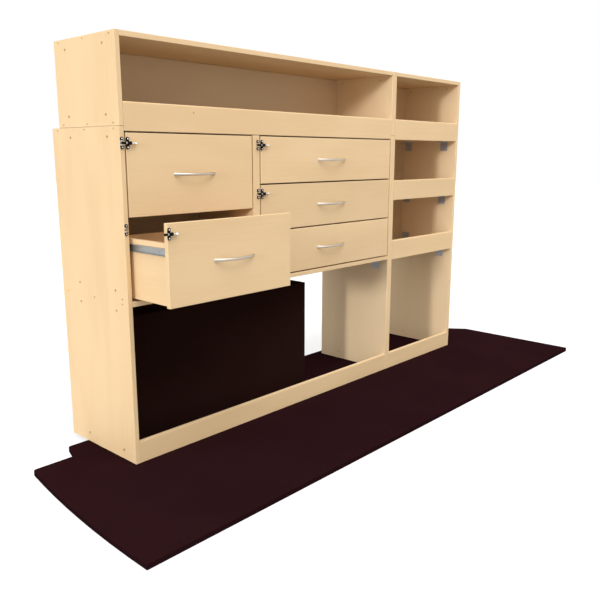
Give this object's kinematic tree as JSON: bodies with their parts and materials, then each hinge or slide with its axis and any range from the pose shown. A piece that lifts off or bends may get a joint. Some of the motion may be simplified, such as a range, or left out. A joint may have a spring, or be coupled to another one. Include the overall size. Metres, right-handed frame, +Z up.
{
  "type": "van racking system",
  "caption": "Plywood van rack on a floor panel: open cubbies, lipped shelves, a wheel arch cover, and drawers on runners with bow handles and spring latches.",
  "frame": {"origin": "middle of the floor panel's bounding rectangle, on its underside", "axes": "+X along the rack towards the shelf unit, +Y from the fronts to the back, +Z up"},
  "size_m": [2.4614, 0.8526, 1.265],
  "materials": {
    "plywood": "maple-faced plywood, satin lacquer, pale edges",
    "back": "maple-faced thin back board",
    "drawer": "plywood drawer box, lacquered",
    "floor": "dark brown phenolic-faced floor plywood",
    "cover": "dark brown phenolic-faced plywood",
    "chrome": "polished chrome",
    "black": "black moulded nylon",
    "bolt": "bright plated steel"
  },
  "bodies": {
    "rack": {"floor_panel": "floor", "wheel_arch_cover": "cover", "drawer_unit_left_side": "plywood", "drawer_unit_right_side": "plywood", "drawer_unit_top": "plywood", "drawer_unit_deck": "plywood", "drawer_unit_partition": "plywood", "drawer_unit_plinth": "plywood", "drawer_unit_back": "back", "shelf_unit_left_side": "plywood", "shelf_unit_right_side": "plywood", "shelf_unit_top": "plywood", "shelf_unit_upper_shelf": "plywood", "shelf_unit_lower_shelf": "plywood", "shelf_unit_upper_lip": "plywood", "shelf_unit_lower_lip": "plywood", "shelf_unit_plinth": "plywood", "shelf_unit_back": "back", "drawer_unit_cubby_left_side": "plywood", "drawer_unit_cubby_right_side": "plywood", "drawer_unit_cubby_top": "plywood", "drawer_unit_cubby_base": "plywood", "drawer_unit_cubby_back": "back", "drawer_unit_cubby_lip": "plywood", "shelf_unit_cubby_left_side": "plywood", "shelf_unit_cubby_right_side": "plywood", "shelf_unit_cubby_top": "plywood", "shelf_unit_cubby_base": "plywood", "shelf_unit_cubby_back": "back", "shelf_unit_cubby_lip": "plywood", "drawer_1_keeper": "black", "drawer_2_keeper": "black", "drawer_3_keeper": "black", "drawer_4_keeper": "black", "drawer_5_keeper": "black"},
    "drawer_1": {"drawer_1_box": "drawer", "drawer_1_front": "plywood", "drawer_1_handle": "chrome", "drawer_1_latch_body": "black"},
    "drawer_2": {"drawer_2_box": "drawer", "drawer_2_front": "plywood", "drawer_2_handle": "chrome", "drawer_2_latch_body": "black"},
    "drawer_3": {"drawer_3_box": "drawer", "drawer_3_front": "plywood", "drawer_3_handle": "chrome", "drawer_3_latch_body": "black"},
    "drawer_4": {"drawer_4_box": "drawer", "drawer_4_front": "plywood", "drawer_4_handle": "chrome", "drawer_4_latch_body": "black"},
    "drawer_5": {"drawer_5_box": "drawer", "drawer_5_front": "plywood", "drawer_5_handle": "chrome", "drawer_5_latch_body": "black"},
    "bolt_1": {"drawer_1_bolt": "bolt"},
    "bolt_2": {"drawer_2_bolt": "bolt"},
    "bolt_3": {"drawer_3_bolt": "bolt"},
    "bolt_4": {"drawer_4_bolt": "bolt"},
    "bolt_5": {"drawer_5_bolt": "bolt"}
  },
  "joints": [
    {"name": "drawer_1_slide", "type": "slide", "parent": "rack", "child": "drawer_1", "axis": [0, -1, 0], "range_m": [0, 0.19]},
    {"name": "drawer_2_slide", "type": "slide", "parent": "rack", "child": "drawer_2", "axis": [0, -1, 0], "range_m": [-0.173, 0.017]},
    {"name": "drawer_3_slide", "type": "slide", "parent": "rack", "child": "drawer_3", "axis": [0, -1, 0], "range_m": [0, 0.19]},
    {"name": "drawer_4_slide", "type": "slide", "parent": "rack", "child": "drawer_4", "axis": [0, -1, 0], "range_m": [0, 0.19]},
    {"name": "drawer_5_slide", "type": "slide", "parent": "rack", "child": "drawer_5", "axis": [0, -1, 0], "range_m": [0, 0.19]},
    {"name": "bolt_1_slide", "type": "slide", "parent": "drawer_1", "child": "bolt_1", "axis": [1, 0, 0], "range_m": [0, 0.008], "stiffness_N_per_m": 300, "springref_m": -0.004},
    {"name": "bolt_2_slide", "type": "slide", "parent": "drawer_2", "child": "bolt_2", "axis": [1, 0, 0], "range_m": [0, 0.008], "stiffness_N_per_m": 300, "springref_m": -0.004},
    {"name": "bolt_3_slide", "type": "slide", "parent": "drawer_3", "child": "bolt_3", "axis": [1, 0, 0], "range_m": [0, 0.008], "stiffness_N_per_m": 300, "springref_m": -0.004},
    {"name": "bolt_4_slide", "type": "slide", "parent": "drawer_4", "child": "bolt_4", "axis": [1, 0, 0], "range_m": [0, 0.008], "stiffness_N_per_m": 300, "springref_m": -0.004},
    {"name": "bolt_5_slide", "type": "slide", "parent": "drawer_5", "child": "bolt_5", "axis": [1, 0, 0], "range_m": [0, 0.008], "stiffness_N_per_m": 300, "springref_m": -0.004}
  ]
}
